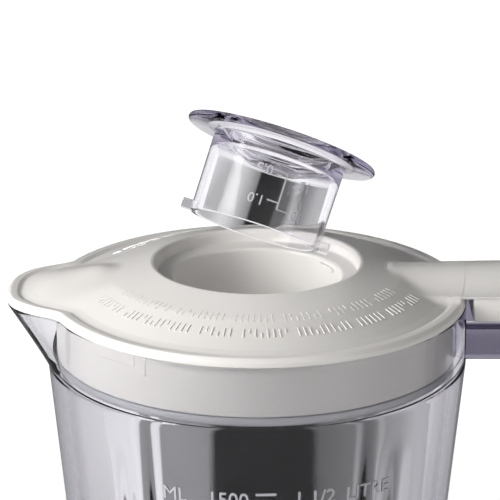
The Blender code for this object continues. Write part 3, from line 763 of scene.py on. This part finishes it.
def makeBase():
    top = 128.0
    shell = turned("housing_moulding", [
        (61.5, top, 2.0), (66, 126, 4), (73, 117, 10), (78, 100, 20), (81, 84, 20), (baseR, 8, 4),
        (baseR, 1, 0.8), (84, 1, 0.5), (84, 8, 1), (78, 83, 10), (75, 98, 10), (70, 113, 3),
        (60.5, 114.5, 1), (12, 114.5, 0.5),
        (12, 118, 0.6), (58, 118, 1.2), (58, 127, 0.6), (59, top, 0.6)], baseAbs, 256, pitch=4.0)
    face = knobSizes["face"]
    panel = turned("dial_panel", [(0, face, 0), (25.5, face, 1.2), (28, face - 2.5, 1.5), (28, 76.0, 0.5),
                                  (0, 76.0, 0)], baseAbs, 128, loop=False)
    place(panel, knobTurn)
    fit(joined("housing_moulding", [shell, panel]), "base", "white_plastic", "base_housing")


def makeKnob():
    sizes = knobSizes

    def fluted(angle, r, z, line):
        # shallow flutes round the skirt, faded out on the face
        out = r + sizes["depth"] * np.cos(sizes["flutes"] * angle) * line[:, 3]
        return out * np.cos(angle), out * np.sin(angle), z

    radius = sizes["radius"]
    body = turned("knob_moulding", [(0, 102, 0, 0), (16, 102, 2, 0), (radius - 1, 101, 1.6, 0.4),
                                    (radius - 0.4, 88.6, 0.5, 1), (4.5, 88.6, 0.5, 0), (4.5, 74.2, 0.5, 0),
                                    (0, 74.2, 0, 0)], darkAbs, 216, fluted, 30, 1.6, loop=False)
    place(body, knobTurn)
    height, half = sizes["height"], sizes["gripHalf"]
    grip = softBlock("knob_grip", (-3.2, -106.8, height - half), (3.2, -100, height + half), 1.4, darkAbs)
    line = softBlock("knob_line", (-0.6, -107.0, height + 6), (0.6, -106.4, height + 17.4), 0.25, whiteAbs)
    fit(joined("knob_moulding", [body, grip]), "knob", "dark_plastic", "speed_knob")
    fit(line, "knob", "dark_plastic")


def makeDialMarks():
    # marks round the knob: pulse, off and three speeds
    ring, height, front = knobSizes["marksR"], knobSizes["height"], -knobSizes["face"] - 0.05
    points, faces, base = [], [], 0
    for text, degrees in (("P", -45), ("0", 0), ("1", 45), ("2", 90), ("3", 135)):
        flat, quads = lettering("dial_number", text, 4.2, 0.3)
        a = math.radians(90 - degrees)
        points.append(np.column_stack([flat[:, 0] + ring * math.cos(a), front - flat[:, 2],
                                       flat[:, 1] + height + ring * math.sin(a)]))
        faces += [[base + i for i in f] for f in quads]
        base += len(flat)
    marks = meshObject("dial_marks", np.vstack(points), faces, printedMark, 30)
    outward(marks)
    fit(marks, "base", "white_plastic")


def makeFeet():
    for i in range(4):
        low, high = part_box(f"foot_{i + 1}")
        x, y = (low[0] + high[0]) / 2 / mm, (low[1] + high[1]) / 2 / mm
        foot = turned(f"rubber_foot_{i + 1}", [(0, -0.3, 0), (8, -0.3, 0.3), (8, -1.2, 0.5), (7.2, -2.0, 0.4),
                                               (0, -2.0, 0)], blackRubber, 48, loop=False)
        fit(place(foot, Matrix.Translation((x * mm, y * mm, 0))), "base", "rubber", f"foot_{i + 1}")


def makeGland():
    # where the mains cord comes in, low at the back
    gland = turned("gland_moulding", [(3.7, -92, 0.8), (5.6, -92, 1.2), (6.4, -90.2, 0.5), (9.0, -90, 0.8),
                                      (9.0, -87.6, 0.5), (6.7, -87.4, 0.3), (6.7, -70, 0.4),
                                      (3.7, -70, 0.4)][::-1], blackRubber, 64)
    outward(gland)
    place(gland, Matrix.Translation((0, 0, 22 * mm)) @ Matrix.Rotation(math.radians(90), 4, "X"))
    fit(gland, "base", "rubber", "cord_gland")


makeBase()
makeKnob()
makeDialMarks()
makeFeet()
makeGland()
print("base made")

kept = {
    zincSteel: ("base_screw_1", "base_screw_2", "base_screw_3", "base_screw_4", "upper_bearing",
                "lower_bearing", "upper_bracket", "lower_bracket"),
    stainless: ("blade_shaft", "thrust_washer", "motor_shaft"),
    coreSteel: ("stator_core", "armature"),
    copperWire: ("field_coil_left", "field_coil_right"),
    commutatorCopper: ("commutator",),
    brassSheet: ("brush_holder_left", "brush_holder_right"),
    bronze: ("blade_bush",),
    carbonBlock: ("carbon_brush_left", "carbon_brush_right"),
    boardGreen: ("control_board",),
    darkAbs: ("speed_switch", "cooling_fan"),
    nylon: ("drive_coupling", "blade_coupling"),
    baseAbs: ("bottom_plate", "screw_post_1", "screw_post_2", "screw_post_3", "screw_post_4"),
    clearSilicone: ("jug_seal_ring", "shaft_seal"),
}
for material, names in kept.items():
    for name in names:
        mesh = frame["nodes"][name].data
        mesh.materials.clear()
        mesh.materials.append(material)


def makeStage():
    floorMaterial, tree, shader = newMaterial("pale_painted_floor", "f0f0f0", 0.7)
    shader.inputs["Emission Color"].default_value = hexColor("ffffff")
    # the sweep burns out to white away from the object, for the camera and through clear plastic
    spot = addNode(tree, "TexCoord")
    far = addNode(tree, "VectorMath", {"operation": "LENGTH"}, {"Vector": spot.outputs["Object"]})
    glow = addNode(tree, "MapRange", {"interpolation_type": "SMOOTHSTEP", "From Min": 0.10, "From Max": 0.90},
                   {"Value": far.outputs["Value"]})
    both = addNode(tree, "Math", {"operation": "MULTIPLY"})
    tree.links.new(glow.outputs["Result"], both.inputs[0])
    tree.links.new(seenDirectly(tree), both.inputs[1])
    tree.links.new(both.outputs["Value"], shader.inputs["Emission Strength"])
    low = cadBox[0][2]
    bpy.ops.mesh.primitive_plane_add(size=30, location=(0, 0, low - 0.0002))
    floor = bpy.context.object
    floor.name = "floor"
    floor.data.materials.append(floorMaterial)
    # painted reflections and shade: two glowing cards, seen only through the clear plastic, lay dark and bright
    # streaks into the jug and the cap
    paintedStreakCard("painted_streaks_behind_jug", 0.0, (-0.100, 0.135), (-0.02, 0.1745), 0.0, (
        (-0.085, 1.25), (-0.062, 1.10), (-0.056, 0.42), (-0.028, 0.34), (-0.0235, 0.010), (0.031, 0.010),
        (0.036, 0.15), (0.060, 0.24), (0.091, 0.5), (0.112, 0.8)))
    paintedStreakCard("painted_streaks_behind_cap", 0.2476, (-0.060, 0.085), (0.196, 0.34), math.radians(17.2), (
        (-0.030, 0.50), (-0.018, 0.72), (-0.0088, 0.42), (-0.0042, 0.26), (-0.0026, 0.01), (0.0114, 0.02),
        (0.0130, 0.12), (0.0200, 0.13), (0.0238, 0.4), (0.0285, 0.18), (0.05, 0.5)), top=0.022, y=0.41)


def seenDirectly(tree):
    # 1 for what the camera sees, also through clear plastic, and 0 for light that falls on surfaces
    path = addNode(tree, "LightPath")
    clear = addNode(tree, "Math", {"operation": "SUBTRACT", "use_clamp": True})
    tree.links.new(path.outputs["Is Transmission Ray"], clear.inputs[0])
    tree.links.new(path.outputs["Diffuse Depth"], clear.inputs[1])
    seen = addNode(tree, "Math", {"operation": "MAXIMUM"})
    tree.links.new(path.outputs["Is Camera Ray"], seen.inputs[0])
    tree.links.new(clear.outputs["Value"], seen.inputs[1])
    return seen.outputs["Value"]


def paintedStreakCard(name, middle, across, upward, lean, stops, top=None, y=0.42):
    # an upright glowing card behind the object that only clear plastic sees: its dark and bright bands are
    # painted reflections and shade for the clear jug and cap; stops are (x in metres, brightness)
    card, tree, _ = newMaterial(name, "000000", 1.0)
    spot = addNode(tree, "TexCoord")
    part = addNode(tree, "SeparateXYZ", {}, {"Vector": spot.outputs["Object"]})
    # its bands lean: x is measured from a line that tilts about the height called middle
    slope = math.tan(lean)
    shift = addNode(tree, "Math", {"operation": "MULTIPLY_ADD"})
    tree.links.new(part.outputs["Z"], shift.inputs[0])
    shift.inputs[1].default_value, shift.inputs[2].default_value = -slope, slope * middle
    bandPlace = addNode(tree, "Math", {"operation": "ADD"})
    tree.links.new(part.outputs["X"], bandPlace.inputs[0])
    tree.links.new(shift.outputs["Value"], bandPlace.inputs[1])
    start, end = stops[0][0] - 0.01, stops[-1][0] + 0.01
    share = addNode(tree, "MapRange", {"From Min": start, "From Max": end},
                    {"Value": bandPlace.outputs["Value"]})
    ramp = addNode(tree, "ValToRGB", {}, {"Fac": share.outputs["Result"]})
    while len(ramp.color_ramp.elements) < len(stops):
        ramp.color_ramp.elements.new(0.5)
    for element, (x, level) in zip(ramp.color_ramp.elements, stops):
        element.position = (x - start) / (end - start)
        element.color = (level, level, level * 1.01, 1)
    glow = addNode(tree, "Emission", {}, {"Color": ramp.outputs["Color"]})
    # looked at from low down the card is plain white
    seenFrom = addNode(tree, "SeparateXYZ", {}, {"Vector": addNode(tree, "NewGeometry").outputs["Incoming"]})
    steep = addNode(tree, "MapRange", {"From Min": 0.22, "From Max": 0.27}, {"Value": seenFrom.outputs["Z"]})
    plain = addNode(tree, "Mix", {"data_type": "RGBA"})
    tree.links.new(steep.outputs["Result"], plain.inputs[0])
    plain.inputs[6].default_value = (1, 1, 1, 1)
    tree.links.new(ramp.outputs["Color"], plain.inputs[7])
    tree.links.new(plain.outputs[2], glow.inputs["Color"])
    tree.links.new(glow.outputs["Emission"], tree.nodes["Material Output"].inputs["Surface"])
    if top is not None:
        # above the leaning line at top the card is plain and bright
        rise = addNode(tree, "Math", {"operation": "MULTIPLY_ADD"})
        tree.links.new(part.outputs["X"], rise.inputs[0])
        rise.inputs[1].default_value = slope
        tree.links.new(part.outputs["Z"], rise.inputs[2])
        over = addNode(tree, "MapRange", {"From Min": middle + top - 0.001, "From Max": middle + top + 0.001},
                       {"Value": rise.outputs["Value"]})
        blend = addNode(tree, "Mix", {"data_type": "RGBA"})
        tree.links.new(over.outputs["Result"], blend.inputs[0])
        tree.links.new(ramp.outputs["Color"], blend.inputs[6])
        blend.inputs[7].default_value = (0.8, 0.8, 0.81, 1)
        tree.links.new(blend.outputs[2], plain.inputs[7])
    (left, right), (low, high) = across, upward
    corners = [(x / mm, y / mm, z / mm) for x, z in ((left, low), (right, low), (right, high), (left, high))]
    made = meshObject(name, corners, [[0, 1, 2, 3]], card)
    made.visible_camera = made.visible_diffuse = made.visible_shadow = made.visible_glossy = False
    return made


def addLamp(name, spot, target, size, power):
    # a square softbox that faces the target and that the camera doesn't see
    lamp = bpy.data.lights.new(name, "AREA")
    lamp.shape, lamp.size, lamp.energy = "SQUARE", size, power
    made = bpy.data.objects.new(name, lamp)
    made.location = spot
    made.rotation_euler = (Vector(target) - Vector(spot)).to_track_quat("-Z", "Y").to_euler()
    made.visible_camera = False
    bpy.context.scene.collection.objects.link(made)
    return made


def makeLight():
    rim = (0, 0, rimZ * mm)
    # the softboxes in watts, then the studio's own brightness on the left and all round
    levels = {"key": 4.6, "top": 0.25, "fill": 3.8, "left": 0.15, "all": 0.16}
    addLamp("key_softbox", (-0.46, -0.26, rimZ * mm + 0.20), rim, 0.35, levels["key"])
    addLamp("top_softbox", (-0.1, -0.35, rimZ * mm + 0.95), rim, 0.6, levels["top"])
    addLamp("fill_softbox", (0.80, -0.80, rimZ * mm - 0.08), rim, 0.7, levels["fill"])
    world = bpy.data.worlds.new("studio")
    bpy.context.scene.world = world
    world.use_nodes = True
    tree = world.node_tree
    back = tree.nodes["Background"]
    back.inputs["Color"].default_value = hexColor("ffffff")
    # for light the studio is bright on the left and dim elsewhere
    way = addNode(tree, "TexCoord")
    part = addNode(tree, "SeparateXYZ", {}, {"Vector": way.outputs["Generated"]})
    left = addNode(tree, "MapRange", {"interpolation_type": "SMOOTHSTEP", "From Min": -0.1, "From Max": -1.0,
                                      "To Min": levels["all"], "To Max": levels["all"] + levels["left"]},
                   {"Value": part.outputs["X"]})
    share = addNode(tree, "Mix", {"data_type": "FLOAT"}, {})
    tree.links.new(seenDirectly(tree), share.inputs[0])
    tree.links.new(left.outputs["Result"], share.inputs[2])
    share.inputs[3].default_value = 1.0
    tree.links.new(share.outputs[0], back.inputs["Strength"])


def makeCamera():
    view = {"distance": 0.800, "elevation": math.radians(19.08), "lens": 174.3, "aimX": -0.00235,
            "aimUp": 0.0154}
    camera = bpy.data.objects.new("camera", bpy.data.cameras.new("camera"))
    camera.data.lens, camera.data.sensor_width = view["lens"], 36
    camera.data.clip_start, camera.data.clip_end = 0.05, 60
    spot = Vector((0, -view["distance"] * math.cos(view["elevation"]),
                   rimZ * mm + view["distance"] * math.sin(view["elevation"])))
    aim = Vector((view["aimX"], 0, rimZ * mm + view["aimUp"]))
    camera.location = spot
    camera.rotation_euler = (aim - spot).to_track_quat("-Z", "Y").to_euler()
    bpy.context.scene.collection.objects.link(camera)
    bpy.context.scene.camera = camera


makeStage()
makeLight()
makeCamera()
bpy.context.scene.view_settings.view_transform = "Standard"
print("scene made")
